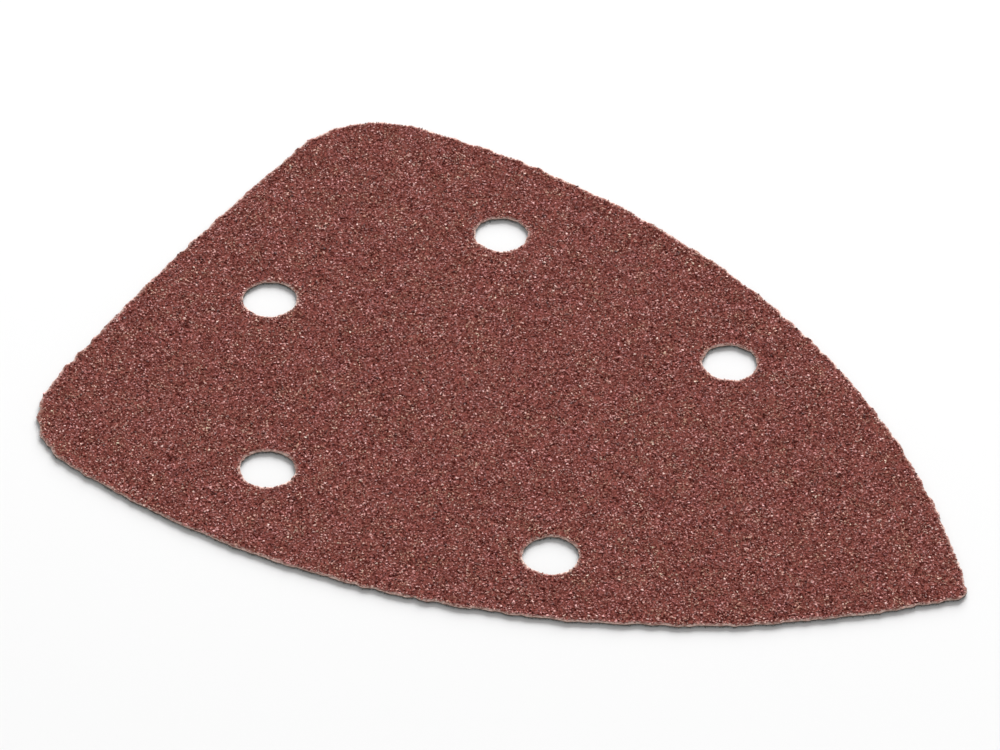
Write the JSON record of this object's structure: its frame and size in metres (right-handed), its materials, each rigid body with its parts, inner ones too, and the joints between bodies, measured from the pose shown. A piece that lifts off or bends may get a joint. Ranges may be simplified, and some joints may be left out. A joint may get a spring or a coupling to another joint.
{
  "type": "abrasive sheet for a detail sander",
  "caption": "Pointed, iron-shaped hook-and-loop abrasive sheet for a detail sander, grit on top, loop backing below, punched with dust-extraction holes.",
  "frame": {"origin": "middle of the length and the width, on the loop face that lies on the table or the sander's pad", "axes": "+X along the sheet towards its point, +Y across it, +Z from the loop face to the grit face"},
  "size_m": [0.14, 0.1, 0.0008],
  "materials": {
    "loop_pile": "brushed nylon loop",
    "loop_ground": "knitted",
    "laminating_adhesive": "satin",
    "backing_paper": "matte",
    "make_coat": "satin",
    "abrasive_grains": "crystalline",
    "size_coat": "satin"
  },
  "bodies": {
    "root": {"loop_pile": "loop_pile", "loop_ground": "loop_ground", "laminating_adhesive": "laminating_adhesive", "backing_paper": "backing_paper", "make_coat": "make_coat", "abrasive_grains": "abrasive_grains", "size_coat": "size_coat"}
  },
  "joints": []
}
